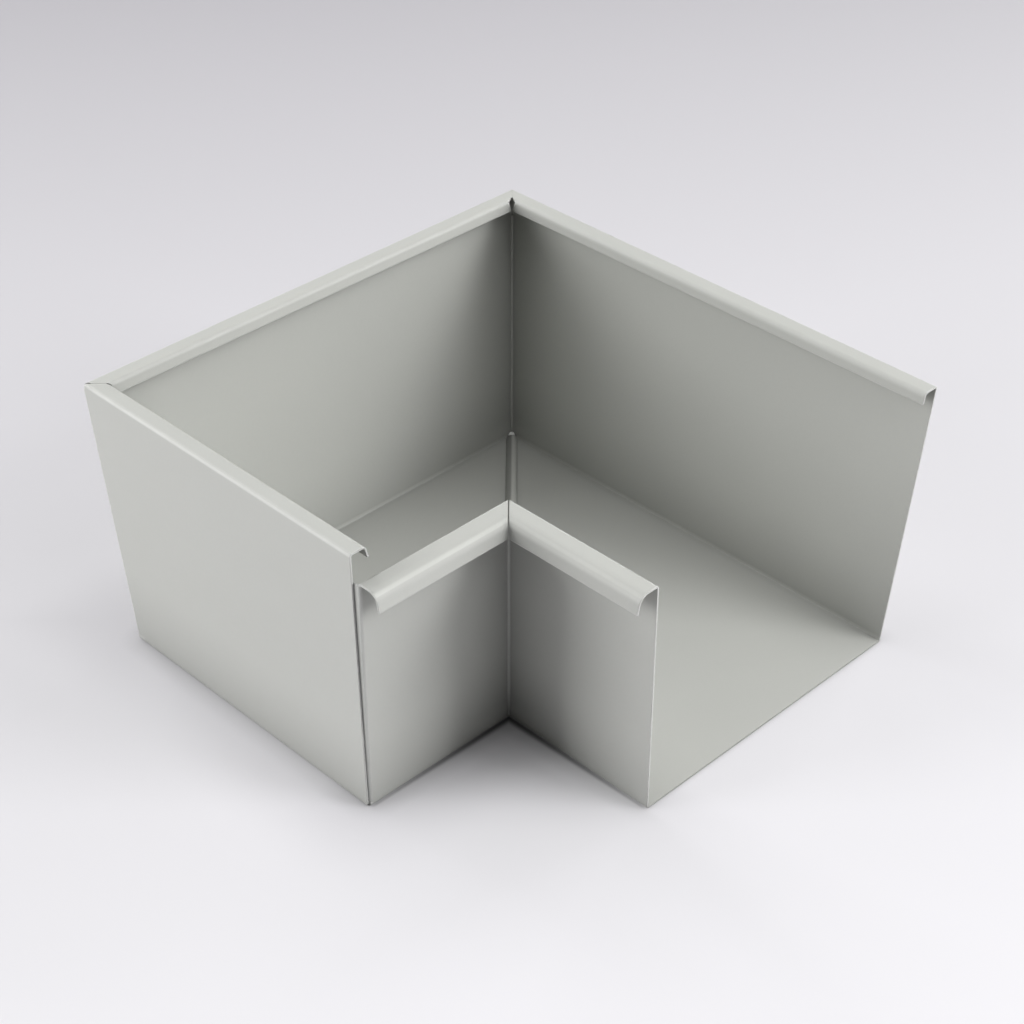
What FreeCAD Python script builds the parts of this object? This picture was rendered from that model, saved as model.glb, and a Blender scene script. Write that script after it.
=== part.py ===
import FreeCAD, Part
import math
import os
import Sketcher
from FreeCAD import Placement, Rotation, Vector

# Inside corner piece of a rectangular roof gutter, folded from coated steel sheet.
# Two folded arms meet at a right angle on a mitre that runs from the far corner,
# where the tall back walls meet, to the near corner, where the low front walls meet.
# The left arm's end is closed by a flap folded up from its floor.
# X runs along the left arm and Y along the right arm, both away from the far corner.

# Driving dimensions in millimetres
SIZES = {
    "sheet_thickness": 0.6,
    "bend_radius": 0.4,
    "lip_radius": 1.6,
    "arm_length": 182,
    "gutter_width": 120,
    "back_height": 98,
    "back_lean": 14.5,
    "front_height": 88.5,
    "back_lip": 7.2,
    "back_drip": 4.2,
    "front_lip": 8.6,
    "front_drip": 6.4,
    "roll_radius": 3.4,
    "drip_splay": 0.7,
    "mitre_gap": 0.4,
    "lip_joint_gap": 0.16,
    "relief_width": 0.7,
    "relief_reach": 1.7,
    "notch_reach": 2,
    "notch_gap": 2.6,
    "flap_trim_foot": 0.8,
    "flap_trim_top": 2.9,
    "tab_gap": 0.15,
    "tab_width": 14,
    "seam_width": 4.4,
    "seam_rise": 1.5,
    "weld_radius": 0.5,
    "weld_inset": 0.2,
    "weld_stop": 5.5,
    "weld_blob": 1.1,
    "cut_margin": 5,
}

# Radius on the outer side of a fold, the tab's face, and the slope of the back walls
BEND = "(Sizes.bend_radius + Sizes.sheet_thickness)"
TAB_FACE = "(Sizes.arm_length - Sizes.sheet_thickness - Sizes.tab_gap)"
SLOPE = f"(Sizes.back_lean / (Sizes.back_height - 2 * {BEND}))"

# Limits that cutting tools reach past, and the middle of the part in plan
REACH = "(Sizes.arm_length + Sizes.back_lean + 2 * Sizes.cut_margin)"
FAR_OUT = "-(Sizes.back_lean + Sizes.cut_margin)"
NEAR_OUT = "(Sizes.arm_length + Sizes.cut_margin)"
FULL_HEIGHT = "(Sizes.back_height + 2 * Sizes.cut_margin)"
CENTRE = "((Sizes.arm_length - Sizes.back_lean) / 2)"

# Sketch planes: across the left arm, across the right arm and flat on the floor
ACROSS_LEFT = Rotation(Vector(1, 1, 1), 120)
ACROSS_RIGHT = Rotation(Vector(1, 0, 0), 90)
FLAT = Rotation()
ORIGIN = (-1, 1)

doc = FreeCAD.newDocument("gutter_angle")
sizes = doc.addObject("Spreadsheet::Sheet", "Sizes")
for row, (alias, size) in enumerate(SIZES.items(), start=1):
    sizes.set(f"A{row}", alias)
    sizes.set(f"B{row}", str(size))
    sizes.setAlias(f"B{row}", alias)
doc.recompute()


def value(expression):
    """The number that an expression over the size sheet comes to."""
    return float(sizes.evalExpression(expression.replace("Sizes.", "")))


def fold_path(name, plane, corners, radii):
    """Draw straight runs through the corners, joined by tangent arcs at the inner ones."""
    sketch = doc.addObject("Sketcher::SketchObject", name)
    sketch.Placement = Placement(Vector(), plane)
    points = [Vector(x, y, 0) for x, y in corners]
    start = points[0]
    joints = []
    for before, corner, after, radius in zip(points, points[1:], points[2:], radii):
        incoming = (corner - before).normalize()
        outgoing = (after - corner).normalize()
        turn = math.atan2(incoming.cross(outgoing).z, incoming.dot(outgoing))
        setback = radius * math.tan(abs(turn) / 2)
        arc_start = corner - incoming * setback
        arc_end = corner + outgoing * setback
        centre = arc_start + Vector(-incoming.y, incoming.x, 0) * math.copysign(radius, turn)
        ring = Part.Circle(centre, Vector(0, 0, 1), radius)
        ends = (arc_start, arc_end) if turn > 0 else (arc_end, arc_start)
        angles = [math.atan2(end.y - centre.y, end.x - centre.x) for end in ends]
        run = sketch.addGeometry(Part.LineSegment(start, arc_start))
        bend = sketch.addGeometry(Part.ArcOfCircle(ring, *angles))
        entry, leave = (1, 2) if turn > 0 else (2, 1)
        joints += [(run, 2, bend, entry), (bend, leave, bend + 1, 1)]
        start = arc_end
    sketch.addGeometry(Part.LineSegment(start, points[-1]))
    for joint in joints:
        sketch.addConstraint(Sketcher.Constraint("Tangent", *joint))
    return sketch


def outline(name, plane, corners):
    """A closed outline of straight runs whose corners are tied to the size sheet."""
    sketch = doc.addObject("Sketcher::SketchObject", name)
    sketch.Placement = Placement(Vector(), plane)
    points = [Vector(value(across), value(up), 0) for across, up in corners]
    for start, end in zip(points, points[1:] + points[:1]):
        sketch.addGeometry(Part.LineSegment(start, end))
    for run in range(len(points)):
        after = (run + 1) % len(points)
        sketch.addConstraint(Sketcher.Constraint("Coincident", run, 2, after, 1))
    for run, (across, up) in enumerate(corners):
        bind(sketch, f"across_{run}", across, "DistanceX", *ORIGIN, run, 1)
        bind(sketch, f"up_{run}", up, "DistanceY", *ORIGIN, run, 1)
    return sketch


def bind(sketch, name, expression, kind, *where):
    """Add a named dimension to a sketch and tie it to the size sheet."""
    if kind == "Radius":
        drawn = sketch.Geometry[where[0]].Radius
    else:
        step = sketch.getPoint(*where[2:]) - sketch.getPoint(*where[:2])
        drawn = step.x if kind == "DistanceX" else step.y
    index = sketch.addConstraint(Sketcher.Constraint(kind, *where, drawn))
    sketch.renameConstraint(index, name)
    sketch.setExpression(f"Constraints.{name}", expression)


def level(sketch, runs):
    for run in runs:
        sketch.addConstraint(Sketcher.Constraint("Horizontal", run))


def plumb(sketch, runs):
    for run in runs:
        sketch.addConstraint(Sketcher.Constraint("Vertical", run))


def gutter_section(name, plane):
    """Outside face of an arm's section, from the back drip over the floor to the front drip."""
    thick, bend = sizes.sheet_thickness, value(BEND)
    back_edge = sizes.back_lip - sizes.back_lean
    front_edge = sizes.gutter_width + sizes.front_lip - thick
    corners = [
        (back_edge, sizes.back_height - sizes.back_drip),
        (back_edge - sizes.drip_splay, sizes.back_height),
        (-sizes.back_lean, sizes.back_height),
        (0, 0),
        (sizes.gutter_width, 0),
        (sizes.gutter_width, sizes.front_height - thick),
        (front_edge - sizes.drip_splay, sizes.front_height - thick),
        (front_edge, sizes.front_height - sizes.front_drip),
    ]
    radii = [sizes.lip_radius, bend, bend, bend, sizes.bend_radius, sizes.roll_radius]
    section = fold_path(name, plane, corners, radii)
    back_drip, edge_bend, back_lip, crest_bend, _, foot_bend, floor = range(7)
    toe_bend, front_wall, brow_bend, front_lip, roll_bend, front_drip = range(7, 13)
    level(section, (back_lip, floor, front_lip))
    plumb(section, (front_wall,))
    section.addConstraint(Sketcher.Constraint("PointOnObject", floor, 1, -1))
    for bend_name, index, radius in (
        ("edge", edge_bend, "Sizes.lip_radius"), ("crest", crest_bend, BEND),
        ("foot", foot_bend, BEND), ("toe", toe_bend, BEND),
        ("brow", brow_bend, "Sizes.bend_radius"), ("roll", roll_bend, "Sizes.roll_radius"),
    ):
        bind(section, f"{bend_name}_radius", radius, "Radius", index)
    bind(section, "foot_place", BEND, "DistanceX", *ORIGIN, foot_bend, 3)
    bind(section, "lean", f"Sizes.back_lean - {BEND}", "DistanceX", crest_bend, 3, *ORIGIN)
    bind(section, "back_rise", "Sizes.back_height", "DistanceY", *ORIGIN, back_lip, 1)
    bind(section, "back_reach", f"Sizes.back_lip - {BEND}", "DistanceX", crest_bend, 3, back_drip, 1)
    bind(section, "back_splay", "Sizes.drip_splay", "DistanceX", back_drip, 2, back_drip, 1)
    bind(section, "back_fall", "Sizes.back_drip", "DistanceY", back_drip, 1, back_lip, 1)
    bind(section, "width", "Sizes.gutter_width", "DistanceX", *ORIGIN, front_wall, 1)
    bind(section, "front_rise", "Sizes.front_height - Sizes.sheet_thickness", "DistanceY",
         *ORIGIN, front_lip, 1)
    bind(section, "front_reach", "Sizes.front_lip - Sizes.sheet_thickness", "DistanceX",
         front_wall, 1, front_drip, 2)
    bind(section, "front_splay", "Sizes.drip_splay", "DistanceX", front_drip, 1, front_drip, 2)
    bind(section, "front_fall", "Sizes.front_drip - Sizes.sheet_thickness", "DistanceY",
         front_drip, 2, front_lip, 1)
    return section


def flap_section(name):
    """Outside face of the end flap, from the floor up to the drip of its inward lip."""
    bend = value(BEND)
    lip_edge = sizes.arm_length - sizes.back_lip
    corners = [
        (sizes.arm_length - bend - sizes.cut_margin, 0),
        (sizes.arm_length, 0),
        (sizes.arm_length, sizes.back_height),
        (lip_edge + sizes.drip_splay, sizes.back_height),
        (lip_edge, sizes.back_height - sizes.back_drip),
    ]
    section = fold_path(name, ACROSS_RIGHT, corners, [bend, bend, sizes.lip_radius])
    floor, foot_bend, wall, crest_bend, lip, edge_bend, drip = range(7)
    level(section, (floor, lip))
    plumb(section, (wall,))
    section.addConstraint(Sketcher.Constraint("PointOnObject", floor, 1, -1))
    for bend_name, index, radius in (
        ("foot", foot_bend, BEND), ("crest", crest_bend, BEND), ("edge", edge_bend, "Sizes.lip_radius"),
    ):
        bind(section, f"{bend_name}_radius", radius, "Radius", index)
    bind(section, "place", "Sizes.arm_length", "DistanceX", *ORIGIN, wall, 1)
    bind(section, "tail", "Sizes.cut_margin", "DistanceX", floor, 1, floor, 2)
    bind(section, "rise", "Sizes.back_height", "DistanceY", *ORIGIN, lip, 1)
    bind(section, "reach", "Sizes.back_lip", "DistanceX", drip, 2, wall, 1)
    bind(section, "splay", "Sizes.drip_splay", "DistanceX", drip, 2, drip, 1)
    bind(section, "fall", "Sizes.back_drip", "DistanceY", drip, 2, lip, 1)
    return section


def flap_outline(name):
    """The end flap as seen from the left arm's end: relieved foot corners, raked free edge."""
    foot_right = f"Sizes.gutter_width - {BEND}"
    top_right = "Sizes.gutter_width - Sizes.flap_trim_top"
    below = "-Sizes.cut_margin"
    above = "Sizes.back_height + Sizes.cut_margin"
    return outline(name, ACROSS_LEFT, [
        (BEND, below),
        (foot_right, below),
        (foot_right, "0"),
        ("Sizes.gutter_width - Sizes.flap_trim_foot", BEND),
        (top_right, "Sizes.back_height"),
        (top_right, above),
        ("-Sizes.back_lean", above),
        ("-Sizes.back_lean", f"Sizes.back_height - {BEND}"),
        ("0", BEND),
        (BEND, "0"),
    ])


def tab_section(name):
    """Plan of the tab that turns off the left front wall's end, behind the flap."""
    bend_radius, face = value(BEND), value(TAB_FACE)
    corners = [
        (face, sizes.gutter_width - sizes.tab_width),
        (face, sizes.gutter_width),
        (face - bend_radius - sizes.cut_margin, sizes.gutter_width),
    ]
    section = fold_path(name, FLAT, corners, [bend_radius])
    tab, bend, wall = range(3)
    plumb(section, (tab,))
    level(section, (wall,))
    bind(section, "bend_radius", BEND, "Radius", bend)
    bind(section, "face", TAB_FACE, "DistanceX", *ORIGIN, tab, 1)
    bind(section, "wall_place", "Sizes.gutter_width", "DistanceY", *ORIGIN, wall, 1)
    bind(section, "tab_reach", "Sizes.tab_width", "DistanceY", tab, 1, wall, 1)
    bind(section, "tail", "Sizes.cut_margin", "DistanceX", wall, 2, wall, 1)
    return section


def run_out(name, face, direction, forward, backward):
    """Run a face out both ways along a direction."""
    bar = doc.addObject("Part::Extrusion", name)
    bar.Base = face
    bar.DirMode = "Custom"
    bar.Dir = direction
    bar.Solid = True
    bar.setExpression("LengthFwd", forward)
    bar.setExpression("LengthRev", backward)
    return bar


def folded_strip(name, section, direction, forward, backward):
    """Give a section the sheet's thickness on its trough side and run it out along an arm."""
    skin = doc.addObject("Part::Offset2D", f"{name}_skin")
    skin.Source = section
    skin.Mode = "Skin"
    skin.Fill = True
    # A section across the right arm faces the other way, so its trough side has the other sign
    side = "" if direction.y else "-"
    skin.setExpression("Value", f"{side}Sizes.sheet_thickness")
    return run_out(name, skin, direction, forward, backward)


def place(solid, *position):
    """Tie a solid's position to the size sheet."""
    for axis, expression in zip("xyz", position):
        solid.setExpression(f"Placement.Base.{axis}", expression)
    return solid


def block(name, corner, spans, turn=0):
    """A plain block from its corner and three spans, turned about its upright edge."""
    solid = doc.addObject("Part::Box", name)
    solid.Placement = Placement(Vector(), Rotation(Vector(0, 0, 1), turn))
    for edge, expression in zip(("Length", "Width", "Height"), spans):
        solid.setExpression(edge, expression)
    return place(solid, *corner)


def rod(name, rotation, radius, length, start):
    """A round rod for a weld bead, from its start along its turned axis."""
    solid = doc.addObject("Part::Cylinder", name)
    solid.Placement = Placement(Vector(), rotation)
    solid.setExpression("Radius", radius)
    solid.setExpression("Height", length)
    return place(solid, *start)


def cut(name, base, tools):
    """Take each tool away from a solid in turn."""
    for number, tool in enumerate(tools, start=1):
        piece = doc.addObject("Part::Cut", f"{name}_cut_{number}")
        piece.Base = base
        piece.Tool = tool
        base = piece
    return base


def join(name, pieces):
    """Fuse pieces into one solid without leftover seams."""
    solid = doc.addObject("Part::MultiFuse", name)
    solid.Shapes = pieces
    solid.Refine = True
    return solid


def mitre_side(name, turn, start):
    """Everything on one side of the upright mitre plane between the two arms."""
    long_side = f"{REACH} / cos(45)"
    return block(name, (start, start, "-Sizes.cut_margin"), (long_side, long_side, FULL_HEIGHT), turn)


def front_lip_slot():
    """The fine open mitre between the two front lips."""
    base = "Sizes.gutter_width - 2 * Sizes.sheet_thickness"
    half_gap = "Sizes.mitre_gap / 2 * cos(45)"
    return block(
        "front_lip_slot",
        (f"{base} + {half_gap}", f"{base} - {half_gap}",
         "Sizes.front_height - Sizes.front_drip - Sizes.mitre_gap"),
        ("(Sizes.front_lip + Sizes.cut_margin) / cos(45)", "Sizes.mitre_gap",
         "Sizes.front_drip + Sizes.cut_margin"),
        turn=45,
    )


def back_lip_notch():
    """The tapered opening between the two back drips at the far corner."""
    notch = doc.addObject("Part::Wedge", "back_lip_notch")
    notch.Placement = Placement(Vector(), Rotation(Vector(0, 0, 1), -45))
    depth = "Sizes.back_drip + Sizes.cut_margin"
    for edge, expression in {
        "Xmin": "-Sizes.notch_gap / 20", "Xmax": "Sizes.notch_gap / 20",
        "X2min": "-Sizes.notch_gap / 2", "X2max": "Sizes.notch_gap / 2",
        "Ymin": "0", "Ymax": "Sizes.notch_reach / cos(45)",
        "Zmin": "0", "Zmax": depth, "Z2min": "0", "Z2max": depth,
    }.items():
        notch.setExpression(edge, expression)
    tip = "Sizes.back_lip - Sizes.back_lean - Sizes.notch_reach"
    return place(notch, tip, tip, "Sizes.back_height - Sizes.back_drip - Sizes.mitre_gap")


def lip_mitre(name, turn, side):
    """One side of the joint between the left back lip and the flap's lip, half its gap included."""
    zone = "(Sizes.back_lip + Sizes.mitre_gap)"
    shift = f"{side} * Sizes.lip_joint_gap / 2 * cos(45)"
    return block(
        name,
        (f"Sizes.arm_length + {side} * {zone} + {shift}", f"-Sizes.back_lean - {side} * {zone} + {shift}",
         "Sizes.back_height - Sizes.back_drip - Sizes.mitre_gap"),
        (f"2 * {zone} / cos(45)", f"{zone} / cos(45)", "Sizes.back_drip + Sizes.cut_margin"),
        turn,
    )


def bend_relief(name, inward):
    """A short slot across one bend of that joint, where the folded lips don't close."""
    shift = "Sizes.relief_width / 2 * cos(45)"
    return block(
        name,
        (f"Sizes.arm_length - {inward} - {shift}", f"{inward} - Sizes.back_lean - {shift}",
         "Sizes.back_height - Sizes.relief_reach"),
        ("(Sizes.relief_reach + Sizes.mitre_gap) / cos(45)", "Sizes.relief_width",
         "Sizes.relief_reach + Sizes.cut_margin"),
        turn=-45,
    )


# The two channels before their mitres are cut, and the tools that shape both
left_channel = folded_strip(
    "left_channel", gutter_section("left_section", ACROSS_LEFT), Vector(1, 0, 0),
    "Sizes.arm_length - Sizes.sheet_thickness", "Sizes.back_lean + Sizes.cut_margin")
right_channel = folded_strip(
    "right_channel", gutter_section("right_section", ACROSS_RIGHT), Vector(0, 1, 0),
    "Sizes.arm_length", "Sizes.back_lean + Sizes.cut_margin")
lip_slot = front_lip_slot()
lip_notch = back_lip_notch()
reliefs = [
    bend_relief("outer_relief", "Sizes.relief_reach"),
    bend_relief("inner_relief", "(Sizes.back_lip + Sizes.mitre_gap)"),
]

# Left arm: channel, end flap folded up from the floor, tab off the front wall behind the flap
TAB_FOOT = f"({BEND} + Sizes.mitre_gap)"
TAB_TOP = f"(Sizes.front_height - {BEND})"
WALL_FOOT = f"Sizes.gutter_width - {BEND}"
floor_end = block(
    "floor_end", (f"Sizes.arm_length - {BEND}", BEND, "-Sizes.cut_margin"),
    (f"{BEND} + Sizes.cut_margin", f"Sizes.gutter_width - 2 * {BEND}", f"{BEND} + Sizes.cut_margin"))
front_end = block(
    "front_end", (TAB_FACE, WALL_FOOT, "-Sizes.cut_margin"),
    ("Sizes.tab_gap + Sizes.cut_margin", f"{BEND} + Sizes.front_lip + Sizes.cut_margin", FULL_HEIGHT))
tab_clearance = block(
    "tab_clearance", (f"{TAB_FACE} - {BEND}", WALL_FOOT, TAB_FOOT),
    (f"{BEND} + Sizes.cut_margin", f"2 * {BEND}", f"{TAB_TOP} - {TAB_FOOT}"))
left_body = cut("left_channel", left_channel, [
    mitre_side("right_of_mitre", 45, FAR_OUT), lip_slot, lip_notch, floor_end, front_end, tab_clearance,
    lip_mitre("back_lip_end", -45, -1), *reliefs,
])

flap_strip = folded_strip(
    "flap_strip", flap_section("flap_section"), Vector(0, 1, 0),
    "Sizes.gutter_width", "Sizes.back_lean + Sizes.cut_margin")
flap_face = run_out("flap_face", flap_outline("flap_outline"), Vector(1, 0, 0), NEAR_OUT, "0")
flap_blank = doc.addObject("Part::Common", "flap_blank")
flap_blank.Base = flap_strip
flap_blank.Tool = flap_face
flap = cut("flap", flap_blank, [lip_mitre("flap_lip_end", 135, 1), *reliefs])

tab = folded_strip("tab", tab_section("tab_section"), Vector(0, 0, 1), TAB_TOP, f"-{TAB_FOOT}")
left_arm = join("left_arm", [left_body, flap, tab])

# Weld beads: along the floor mitre, up the two corners where walls meet, and a blob at the far foot
SEAM_RADIUS = "(Sizes.seam_rise / 2 + Sizes.seam_width ^ 2 / (8 * Sizes.seam_rise))"
SEAM_END = f"({BEND} + Sizes.seam_width / 4)"
floor_rod = rod(
    "floor_rod", Rotation(Vector(0, 0, 1), Vector(1, 1, 0)), SEAM_RADIUS,
    f"(Sizes.gutter_width - 2 * {SEAM_END}) / cos(45)",
    (SEAM_END, SEAM_END, f"Sizes.sheet_thickness + Sizes.seam_rise - {SEAM_RADIUS}"))
under_floor = block(
    "under_floor", (FAR_OUT, FAR_OUT, f"-2 * {SEAM_RADIUS}"),
    (REACH, REACH, f"2 * {SEAM_RADIUS} + Sizes.sheet_thickness"))
CORNER_ANGLE = f"atan({SLOPE} / cos(45))"
far_place = f"{BEND} - (Sizes.bend_radius - Sizes.weld_inset) / cos(atan({SLOPE}))"
far_rod = rod(
    "far_rod", Rotation(Vector(1, -1, 0), 1), "Sizes.weld_radius",
    f"(Sizes.back_height - Sizes.back_drip - Sizes.weld_stop - {BEND}) / cos({CORNER_ANGLE})",
    (far_place, far_place, BEND))
far_rod.setExpression("Placement.Rotation.Angle", CORNER_ANGLE)
near_place = "Sizes.gutter_width + Sizes.weld_inset"
near_rod = rod(
    "near_rod", Rotation(), "Sizes.weld_radius",
    f"Sizes.front_height - Sizes.front_drip - {BEND}", (near_place, near_place, BEND))
BLOB_PLACE = "Sizes.weld_blob + Sizes.sheet_thickness / 4"
blob = doc.addObject("Part::Sphere", "blob")
blob.setExpression("Radius", "Sizes.weld_blob")
place(blob, BLOB_PLACE, BLOB_PLACE, BLOB_PLACE)
beads = join("beads", [cut("floor_bead", floor_rod, [under_floor]), far_rod, near_rod, blob])
welds = cut("welds", beads, [left_channel, right_channel])

# Right arm: open channel with a square-cut end, carrying the weld beads
right_body = cut("right_channel", right_channel, [
    mitre_side("left_of_mitre", 225, NEAR_OUT), lip_slot, lip_notch,
])
right_arm = join("right_arm", [right_body, welds])

# Stand the piece on its underside, centred
arms = [left_arm, right_arm]
for arm in arms:
    place(arm, f"-{CENTRE}", f"-{CENTRE}")
doc.recompute()

for item in doc.Objects:
    if {"Invalid", "Error"} & set(item.State):
        raise RuntimeError(f"{item.Name} failed: {item.State}")
for arm in arms:
    if arm.Shape.isNull() or not arm.Shape.isValid() or len(arm.Shape.Solids) != 1:
        raise RuntimeError(f"{arm.Label} is not one sound solid")

os.makedirs("parts", exist_ok=True)
for arm in arms:
    arm.Shape.exportStep(f"parts/{arm.Label}.step")
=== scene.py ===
import math
from types import SimpleNamespace

import bpy
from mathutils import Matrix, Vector


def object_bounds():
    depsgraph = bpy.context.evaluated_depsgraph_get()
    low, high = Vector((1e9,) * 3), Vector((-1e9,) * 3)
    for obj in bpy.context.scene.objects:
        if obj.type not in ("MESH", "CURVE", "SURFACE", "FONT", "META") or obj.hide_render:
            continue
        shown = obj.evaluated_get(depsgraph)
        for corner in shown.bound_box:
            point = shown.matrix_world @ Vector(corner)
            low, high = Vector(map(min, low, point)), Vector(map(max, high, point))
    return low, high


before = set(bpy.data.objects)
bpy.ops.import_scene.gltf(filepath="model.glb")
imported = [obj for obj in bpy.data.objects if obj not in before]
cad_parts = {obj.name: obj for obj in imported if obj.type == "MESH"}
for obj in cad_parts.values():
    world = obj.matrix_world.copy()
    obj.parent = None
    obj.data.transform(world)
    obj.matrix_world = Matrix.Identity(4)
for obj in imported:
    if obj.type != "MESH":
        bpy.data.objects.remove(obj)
cad_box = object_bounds()

MM = 0.001

# Camera where the photographer stood, in metres and degrees
CAMERA_PLACE = (0.41925, 0.42503, 0.47319)
CAMERA_HEADING = 225.32
CAMERA_PITCH = 35.515
CAMERA_LENS = 76.118
SENSOR_WIDTH = 36.0
CLIP_START = 0.01

# Soft boxes on a ring round the object: name, azimuth, elevation, watts
LIGHT_DISTANCE = 2.0
LIGHT_SIDE = 0.8
LIGHT_TARGET = (0.0, 0.0, 0.04)
LIGHTS = [
    ("right", 120, 32, 21.9),
    ("right_low", 120, 14, 3.6),
    ("right_back_low", 150, 14, 10.1),
    ("right_back", 180, 32, 9.7),
    ("right_high", 135, 55, 1.9),
    ("front_right_high", 90, 55, 5.2),
    ("back_high", 225, 55, 2.2),
    ("back_left", 270, 32, 10.0),
    ("back_left_high", 270, 55, 4.9),
    ("left", 300, 32, 2.8),
    ("left_low", 300, 14, 9.2),
    ("front_left", 330, 32, 6.6),
    ("front_left_low", 330, 14, 14.8),
    ("top", 0, 90, 4.0),
]
BACKDROP = (0.78, 0.775, 0.79)

# Places on the object: the frame's box, and the walls of the folded section inside it
FAR_CORNER = cad_box[0][0]
ARM_END = cad_box[1][0]
CREST = cad_box[1][2]
SHEET = 0.6 * MM
BACK_FOOT = FAR_CORNER + 14.5 * MM
FRONT_WALLS = BACK_FOOT + 120.0 * MM
FRONT_TOP = 88.5 * MM

# Paint, linear tones, and painted shade in its corners and crevices
PAINT = (0.520, 0.526, 0.497)
PAINT_SHADE = (0.503, 0.510, 0.483)
PAINT_ROUGHNESS = (0.46, 0.55)
PAINT_SPECULAR = 0.4
CORNER_REACH = 30.0 * MM
CORNER_SHADE = 0.6
CREVICE_REACH = 3.0 * MM
CREVICE_SHADE = 0.7

# Bare metal on the cut edges above the floor and off the mitre, and on the weld blob at the far foot,
# painted near white as highlights
BARE_EDGE_HIGHLIGHT = (0.95, 0.95, 0.94)
BARE_HIGHLIGHT_SHARE = 0.95
BARE_POLISH = 0.08
BARE_HEIGHT = (0.7 * MM, 1.2 * MM)
BARE_OFF_MITRE = (0.8 * MM, 1.6 * MM)
EDGE_RADIUS = 0.6 * MM
EDGE_TURN = (0.999, 0.93)
BARE_WELD_HIGHLIGHT = (0.97, 0.97, 0.95)
BLOB_PLACE = (BACK_FOOT + 1.25 * MM, BACK_FOOT + 1.25 * MM, 1.25 * MM)
BLOB_SIZE = 1.4 * MM

# Noise in waves per metre, and the range of it that counts
DRIFT_SCALE = 14.0
DRIFT_RANGE = (0.3, 0.7)
DRIFT_SHARE = 0.6
SPECKLE_SCALE = 1500.0
SPECKLE_RANGE = (0.35, 0.65)
PATCH_SCALE = 260.0
PATCH_RANGE = (0.3, 0.6, 0.8, 1.0)
HANDLING_SCALE = 45.0
HANDLING_RANGE = (0.3, 0.7)

# Relief too fine for the solids: orange peel of the coating and ripples of the weld beads
PEEL_SCALE = 700.0
RIPPLE_RADIANS = 4500.0
WOBBLE_SCALE = 400.0
WOBBLE_REACH = 1.2 * MM
RELIEF_SHARE = 0.05
RELIEF_STRENGTH = 0.35
RELIEF_DEPTH = 0.8 * MM

# Where light catches or misses a fold: arm, height, band from it in mm, axis, wall, run from it in mm, tone
FOLD_TONES = {
    "back_foot": ("both", SHEET, (0.0, 0.4, 0.7, 1.8), "nearest", BACK_FOOT, (3.75, 2.75), 1.27),
    "flap_crest": ("left", CREST, (-1.2, -0.9, -0.3, -0.1), "x", ARM_END, (-1.15, -0.85), 1.12),
    "left_back_bend": ("left", CREST, (-1.6, -1.0, -0.4, -0.1), "y", FAR_CORNER, (4.45, 5.25), 1.07),
    "left_front_roll": ("left", FRONT_TOP, (-1.6, -1.2, -0.8, -0.3), "y", FRONT_WALLS, (-0.75, 0.05), 1.18),
    "right_front_roll": ("right", FRONT_TOP, (-1.4, -1.0, -0.7, -0.3), "x", FRONT_WALLS, (-0.75, 0.05), 1.1),
    "right_front_drip": ("right", FRONT_TOP, (-9.5, -9.0, -2.9, -1.7), "x", FRONT_WALLS, (2.25, 3.25), 0.9),
    "right_back_drip": ("right", CREST, (-5.5, -5.0, -2.2, -1.2), "x", FAR_CORNER, (3.75, 4.75), 0.87),
}
ARM_EDGE = 0.4 * MM

# Weld bead on the floor's mitre, and the corners and weld lines above it: painted shade and highlights on
# all three
BEAD_HALF = 3.1 * MM
BEAD_SIDES = (1.05 * BEAD_HALF, 0.85 * BEAD_HALF)
BEAD_RIDGE = 0.2 * BEAD_HALF
BEAD_TOP = 2.5 * MM
BEAD_FALL = 0.9 * BEAD_TOP
BEAD_CLEAR = 4.0 * BEAD_TOP
BEAD_ENDS = (
    (BACK_FOOT + 0.45 * MM, BACK_FOOT + 0.85 * MM),
    (FRONT_WALLS - 0.25 * MM, FRONT_WALLS - 0.75 * MM),
)
BEAD_LIGHT = 1.2
BEAD_SHADE = 0.65
MITRE_REACH = 30.0 * MM
MITRE_SHADE = 0.8
WELD_LINE = (1.1 * MM, 0.66 * MM)
WELD_LIGHT = 1.4
CLOSED_FROM = (1.0, 0.7)

# Floor: its own tone, and a painted glow of studio light that grows towards the front right
FLOOR_SIZE = 4.0
FLOOR_DROP = 0.2 * MM
FLOOR_COLOUR = (0.424, 0.414, 0.440)
FLOOR_ROUGHNESS = 0.4
FLOOR_GLOSS = 0.2
FLOOR_GLOW = (0.988, 0.99, 0.99)
GLOW_ACROSS = (-0.5, 0.5, 0.03, 0.135)
GLOW_ALONG = (-0.85, 0.3, 0.0, 0.335)
FLOOR_END = (0.75, 1.6)

# Shade on the floor: between the front walls, beside the outer walls, and in a line at the front walls' feet
INNER_CORNER = 2.0 * FRONT_WALLS
WALL_ENDS = FRONT_WALLS + ARM_END
CORNER_FADE = (INNER_CORNER + 5.9 * MM, INNER_CORNER + 79.9 * MM, 0.09, 1.0)
CORNER_SIDES = (FRONT_WALLS - 20.25 * MM, FRONT_WALLS - 0.25 * MM)
BESIDE_FADE = (ARM_END - 2.25 * MM, ARM_END + 36.75 * MM, 0.77, 1.0)
BESIDE_END = (0.07, 0.03)
CONTACT_REACH = 8.0 * MM
CONTACT_SHADE = 0.3
FOOT_SHADE = (INNER_CORNER, WALL_ENDS, 0.1, 0.75)
FOOT_WIDTH = (INNER_CORNER, WALL_ENDS, 3.2 * MM, 1.0 * MM)
FOOT_START = (-1.0 * MM, 0.0)
FOOT_END = (ARM_END - 0.25 * MM, ARM_END - 3.25 * MM)


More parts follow.
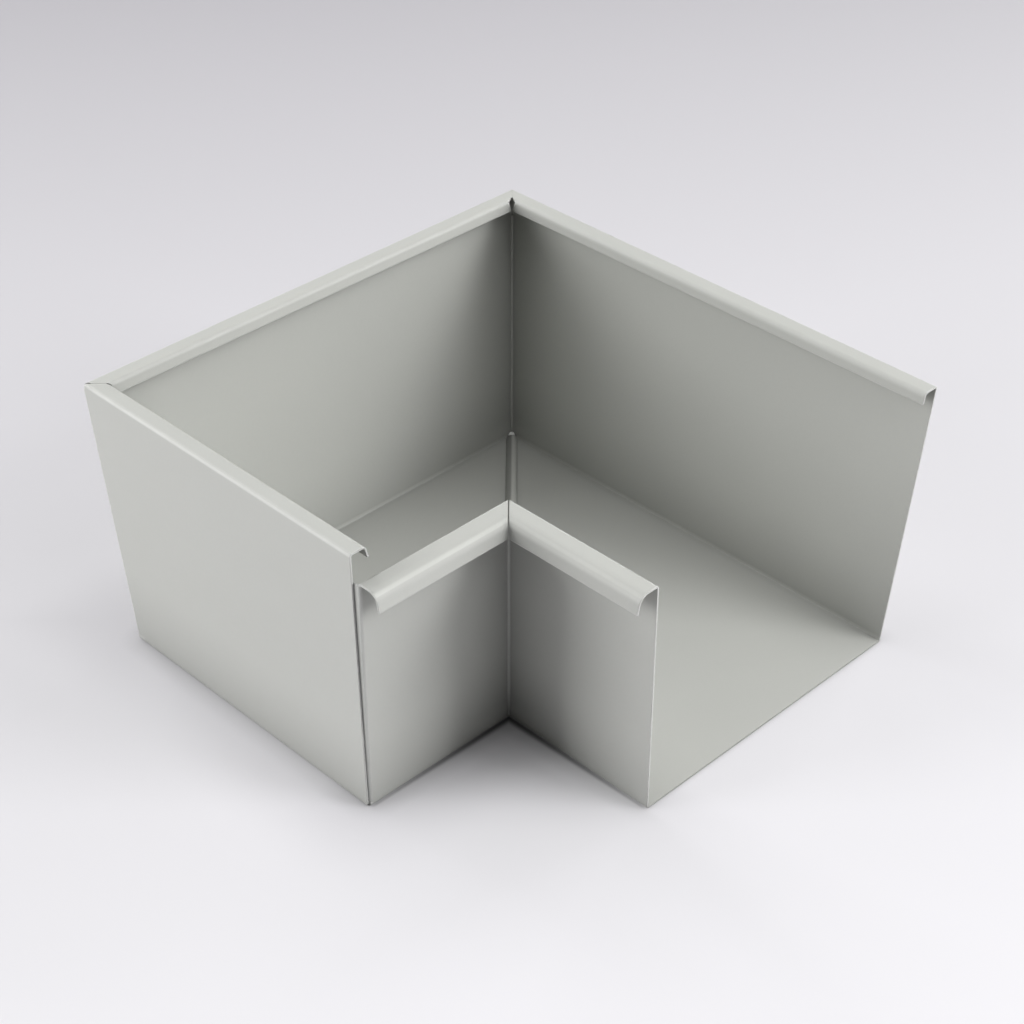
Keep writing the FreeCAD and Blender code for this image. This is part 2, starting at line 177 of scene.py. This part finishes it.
class Nodes:
    """Builds a material's node tree with short calls."""

    SAMPLES = 2

    def __init__(self, name):
        self.material = bpy.data.materials.new(name)
        self.material.use_nodes = True
        self.tree = self.material.node_tree
        self.shader = self.tree.nodes["Principled BSDF"]

    def add(self, kind, settings=None, **inputs):
        node = self.tree.nodes.new(f"ShaderNode{kind}")
        for name, value in (settings or {}).items():
            setattr(node, name, value)
        for name, value in inputs.items():
            self.set(node, name.replace("_", " "), value)
        return node

    def set(self, node, socket, value):
        target = node.inputs[int(socket) if socket.isdigit() else socket]
        if isinstance(value, bpy.types.NodeSocket):
            self.tree.links.new(value, target)
        else:
            target.default_value = value

    def surface(self, socket, value):
        self.set(self.shader, socket, value)

    def math(self, operation, *values):
        node = self.add("Math", {"operation": operation})
        for index, value in enumerate(values):
            self.set(node, str(index), value)
        return node.outputs[0]

    def product(self, *values):
        result = values[0]
        for value in values[1:]:
            result = self.math("MULTIPLY", result, value)
        return result

    def vector(self, operation, first, second, output):
        node = self.add("VectorMath", {"operation": operation})
        self.set(node, "0", first)
        self.set(node, "1", second)
        return node.outputs[output]

    def noise(self, where, scale, detail=2.0, rough=0.5):
        node = self.add("TexNoise", Vector=where, Scale=scale, Detail=detail, Roughness=rough)
        return node.outputs["Fac"]

    def ramp(self, value, low, high, to_low=0.0, to_high=1.0, shape="SMOOTHSTEP"):
        node = self.add("MapRange", {"interpolation_type": shape}, Value=value)
        limits = {"From Min": low, "From Max": high, "To Min": to_low, "To Max": to_high}
        for socket, number in limits.items():
            self.set(node, socket, number)
        return node.outputs["Result"]

    def openness(self, reach):
        node = self.add("AmbientOcclusion", {"samples": self.SAMPLES}, Distance=reach)
        return node.outputs["AO"]

    def rounded(self, radius):
        node = self.add("Bevel", {"samples": self.SAMPLES}, Radius=radius)
        return node.outputs["Normal"]

    def scale(self, colour, factor):
        node = self.add("VectorMath", {"operation": "SCALE"})
        self.set(node, "0", colour)
        self.set(node, "Scale", factor)
        return node.outputs[0]

    def tint(self, colour, zone, level):
        """Scale a colour by the level where the zone is one."""
        return self.scale(colour, self.ramp(zone, 0.0, 1.0, 1.0, level, shape="LINEAR"))

    def fade(self, value, zone, level):
        """Scale a value by the level, itself a socket, where the zone is one."""
        loss = self.product(zone, self.math("SUBTRACT", 1.0, level))
        return self.product(value, self.math("SUBTRACT", 1.0, loss))

    def blend(self, factor, first, second):
        node = self.add("Mix", {"data_type": "RGBA"})
        for index, value in (("0", factor), ("6", first), ("7", second)):
            if isinstance(value, tuple):
                value = (*value, 1.0)
            self.set(node, index, value)
        return node.outputs[2]


def places_on_sheet(paint):
    """Sockets that say where on the folded sheet a point lies."""
    where = paint.add("TexCoord").outputs["Object"]
    axes = paint.add("SeparateXYZ", Vector=where)
    x, y, z = (axes.outputs[axis] for axis in "XYZ")
    across_mitre = paint.math("SUBTRACT", x, y)
    off_mitre = paint.math("ABSOLUTE", across_mitre)
    return SimpleNamespace(
        where=where,
        x=x,
        y=y,
        z=z,
        nearest=paint.math("MINIMUM", x, y),
        across_mitre=across_mitre,
        off_mitre=off_mitre,
        bead=paint.ramp(off_mitre, *BEAD_SIDES),
        above_bead=paint.ramp(z, BEAD_TOP, BEAD_CLEAR),
        open_fold=paint.openness(CORNER_REACH),
    )


def coat_tone(paint, at):
    """Slow drift over the sheet and the fine speckle of a powder coat, with painted shade darker in folds
    and crevices.
    """
    drift = paint.ramp(paint.noise(at.where, DRIFT_SCALE, 3.0), *DRIFT_RANGE)
    speckle = paint.ramp(paint.noise(at.where, SPECKLE_SCALE, 2.0), *SPECKLE_RANGE)
    tone = paint.math("ADD", paint.product(drift, DRIFT_SHARE), paint.product(speckle, 1.0 - DRIFT_SHARE))
    colour = paint.blend(tone, PAINT_SHADE, PAINT)
    # Painted shade: the colour darkens where corners and crevices close in
    for opened, shade in ((at.open_fold, CORNER_SHADE), (paint.openness(CREVICE_REACH), CREVICE_SHADE)):
        colour = paint.scale(colour, paint.ramp(opened, 0.0, 1.0, shade, 1.0))
    return colour


def fold_tones(paint, at, colour):
    """Light on the feet, crests and rolls of the folds, and shade on the open arm's drip edges."""
    arms = {
        "both": 1.0,
        "left": paint.ramp(at.across_mitre, 0.0, ARM_EDGE),
        "right": paint.ramp(at.across_mitre, 0.0, -ARM_EDGE),
    }
    axes = {"x": at.x, "y": at.y, "nearest": at.nearest}
    off_bead = paint.math("MAXIMUM", at.above_bead, paint.math("SUBTRACT", 1.0, at.bead))
    for arm, height, band, axis, wall, run, level in FOLD_TONES.values():
        low, rise, fall, high = (height + step * MM for step in band)
        start, end = (wall + step * MM for step in run)
        in_band = paint.product(paint.ramp(at.z, low, rise), paint.ramp(at.z, high, fall))
        by_wall = paint.ramp(axes[axis], start, end)
        colour = paint.tint(colour, paint.product(in_band, by_wall, arms[arm], off_bead), level)
    return colour


def mitre_tones(paint, at, colour):
    """Painted shade in the corners on the mitre with painted highlights on the weld lines, and a floor bead
    painted as lit from the open arm's side and shaded on the other.
    """
    closed = paint.ramp(at.open_fold, *CLOSED_FROM, shape="LINEAR")
    corners = paint.ramp(at.off_mitre, MITRE_REACH, 0.0)
    weld_lines = paint.ramp(at.off_mitre, *WELD_LINE)
    # Painted shade in the corners and painted highlights on the weld lines
    for zone, level in ((corners, MITRE_SHADE), (weld_lines, WELD_LIGHT)):
        colour = paint.tint(colour, paint.product(at.above_bead, zone, closed), level)

    on_bead = paint.product(at.bead, paint.ramp(at.z, BEAD_TOP, BEAD_FALL))
    for outer, inner in BEAD_ENDS:
        on_bead = paint.product(on_bead, paint.ramp(at.nearest, outer, inner))
    # Painted light and shade on the bead's two flanks
    lit = paint.ramp(at.across_mitre, -BEAD_RIDGE, BEAD_RIDGE, BEAD_LIGHT, BEAD_SHADE)
    return paint.blend(on_bead, colour, paint.scale(colour, lit))


def bare_edges(paint, at, rounded):
    """One where a rounded normal turns away from the flat one: a cut edge, broken up by noise, that is bare
    and gets a painted highlight.
    """
    flat = paint.add("NewGeometry").outputs["Normal"]
    turned = paint.ramp(paint.vector("DOT_PRODUCT", rounded, flat, "Value"), *EDGE_TURN)
    patchy = paint.ramp(paint.noise(at.where, PATCH_SCALE, 3.0), *PATCH_RANGE)
    off_mitre = paint.ramp(at.off_mitre, *BARE_OFF_MITRE)
    return paint.product(paint.ramp(at.z, *BARE_HEIGHT), turned, patchy, off_mitre)


def relief(paint, at, rounded):
    """Orange peel all over, and ripples along the beads on the mitre plane."""
    peel = paint.noise(at.where, PEEL_SCALE, 2.0)
    along = paint.math("ADD", paint.product(paint.math("ADD", at.x, at.y), math.sqrt(0.5)), at.z)
    wobble = paint.product(paint.noise(at.where, WOBBLE_SCALE, 1.0), WOBBLE_REACH)
    ripple = paint.math("SINE", paint.product(paint.math("ADD", along, wobble), RIPPLE_RADIANS))
    on_beads = paint.product(ripple, at.bead)
    height = paint.math("ADD", paint.product(peel, RELIEF_SHARE), paint.product(on_beads, RELIEF_SHARE))
    bump = paint.add("Bump", Height=height, Strength=RELIEF_STRENGTH, Distance=RELIEF_DEPTH, Normal=rounded)
    return bump.outputs["Normal"]


def coated_sheet():
    """Satin light grey coating on folded steel, bare along the cut edges and on the weld blob with painted
    highlights there, and painted light and shade in its folds, corners and welds.
    """
    paint = Nodes("coated_sheet_paint")
    at = places_on_sheet(paint)
    rounded = paint.rounded(EDGE_RADIUS)
    bare = bare_edges(paint, at, rounded)

    colour = coat_tone(paint, at)
    colour = fold_tones(paint, at, colour)
    colour = mitre_tones(paint, at, colour)
    # Cut edges: bare metal, painted near white as a highlight line
    colour = paint.blend(paint.product(bare, BARE_HIGHLIGHT_SHARE), colour, BARE_EDGE_HIGHLIGHT)
    # Weld blob at the far foot: bare weld metal, painted near white as a glint
    from_blob = paint.vector("DISTANCE", at.where, BLOB_PLACE, "Value")
    colour = paint.blend(paint.ramp(from_blob, BLOB_SIZE, 0.8 * BLOB_SIZE), colour, BARE_WELD_HIGHLIGHT)
    paint.surface("Base Color", colour)

    # Gloss drifts a little where the sheet was handled
    handled = paint.noise(at.where, HANDLING_SCALE, 4.0, 0.6)
    rough = paint.ramp(handled, *HANDLING_RANGE, *PAINT_ROUGHNESS)
    paint.surface("Roughness", paint.math("SUBTRACT", rough, paint.product(bare, BARE_POLISH)))
    paint.surface("Specular IOR Level", PAINT_SPECULAR)
    paint.surface("Normal", relief(paint, at, rounded))
    return paint.material


def floor_shades(pale, x, y):
    """The floor's glow and its contact shade, by place."""
    along = pale.math("ADD", x, y)
    nearest = pale.math("MINIMUM", x, y)
    # Painted light: a glow from the floor itself, growing towards the front right
    glow = pale.math(
        "ADD",
        pale.ramp(pale.math("SUBTRACT", y, x), *GLOW_ACROSS, shape="LINEAR"),
        pale.ramp(along, *GLOW_ALONG, shape="LINEAR"),
    )
    contact = pale.ramp(pale.openness(CONTACT_REACH), 0.0, 1.0, CONTACT_SHADE, 1.0, shape="LINEAR")

    # Painted shade: less glow in the corner between the front walls, and in a strip beside the outer walls
    glow = pale.fade(glow, pale.ramp(nearest, *CORNER_SIDES), pale.ramp(along, *CORNER_FADE))
    outside = pale.math("MAXIMUM", pale.math("ABSOLUTE", x), pale.product(y, -1.0))
    glow = pale.fade(glow, pale.ramp(y, *BESIDE_END), pale.ramp(outside, *BESIDE_FADE))

    # A painted contact shadow along the front walls' feet, widest in their corner
    shade = pale.ramp(along, *FOOT_SHADE, shape="LINEAR")
    width = pale.ramp(along, *FOOT_WIDTH, shape="LINEAR")
    from_wall = pale.math("SUBTRACT", nearest, FRONT_WALLS)
    line = pale.ramp(from_wall, 0.0, width, shade, 1.0)
    before_end = pale.ramp(pale.math("MAXIMUM", x, y), *FOOT_END)
    at_wall = pale.product(pale.ramp(from_wall, *FOOT_START), before_end)
    return pale.fade(glow, at_wall, line), pale.fade(contact, at_wall, line)


def pale_floor():
    """Pale studio floor with painted glow and shade, that runs into the backdrop far off."""
    bpy.ops.mesh.primitive_plane_add(size=FLOOR_SIZE, location=(0, 0, -FLOOR_DROP))
    floor = bpy.context.object
    floor.name = "floor"
    pale = Nodes("pale_floor")
    where = pale.add("NewGeometry").outputs["Position"]
    axes = pale.add("SeparateXYZ", Vector=where)
    glow, contact = floor_shades(pale, axes.outputs["X"], axes.outputs["Y"])
    distance = pale.add("VectorMath", {"operation": "LENGTH"}, Vector=where).outputs["Value"]
    far = pale.ramp(distance, *FLOOR_END)
    near = pale.math("SUBTRACT", 1.0, far)
    pale.surface("Base Color", pale.scale(FLOOR_COLOUR, pale.product(contact, near)))
    pale.surface("Roughness", FLOOR_ROUGHNESS)
    pale.surface("Specular IOR Level", pale.product(near, FLOOR_GLOSS))
    pale.surface("Emission Color", pale.blend(far, pale.scale(FLOOR_GLOW, glow), BACKDROP))
    pale.surface("Emission Strength", 1.0)
    floor.data.materials.append(pale.material)


def heading(azimuth, elevation):
    """Unit vector from an azimuth counted from +X and an elevation, in degrees."""
    turn, rise = math.radians(azimuth), math.radians(elevation)
    return Vector((math.cos(turn) * math.cos(rise), math.sin(turn) * math.cos(rise), math.sin(rise)))


def look_along(item, direction):
    item.rotation_euler = direction.to_track_quat("-Z", "Y").to_euler()
    bpy.context.scene.collection.objects.link(item)


def soft_box(name, azimuth, elevation, watts):
    data = bpy.data.lights.new(name, "AREA")
    data.shape = "SQUARE"
    data.size = LIGHT_SIDE
    data.energy = watts
    light = bpy.data.objects.new(name, data)
    light.location = LIGHT_DISTANCE * heading(azimuth, elevation)
    look_along(light, Vector(LIGHT_TARGET) - light.location)


def backdrop():
    """Pale backdrop that is only seen: all the light comes from the soft boxes and the floor."""
    world = bpy.data.worlds.new("studio")
    bpy.context.scene.world = world
    world.use_nodes = True
    background = world.node_tree.nodes["Background"]
    background.inputs["Color"].default_value = (*BACKDROP, 1.0)
    for ray in ("diffuse", "glossy", "transmission", "scatter"):
        setattr(world.cycles_visibility, ray, False)


def camera():
    data = bpy.data.cameras.new("photo_camera")
    data.lens = CAMERA_LENS
    data.sensor_width = SENSOR_WIDTH
    data.clip_start = CLIP_START
    eye = bpy.data.objects.new("photo_camera", data)
    eye.location = CAMERA_PLACE
    look_along(eye, heading(CAMERA_HEADING, -CAMERA_PITCH))
    bpy.context.scene.camera = eye


sheet_paint = coated_sheet()
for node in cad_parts.values():
    node.data.materials.clear()
    node.data.materials.append(sheet_paint)

pale_floor()
backdrop()
for light in LIGHTS:
    soft_box(*light)
camera()
bpy.context.scene.view_settings.view_transform = "Standard"
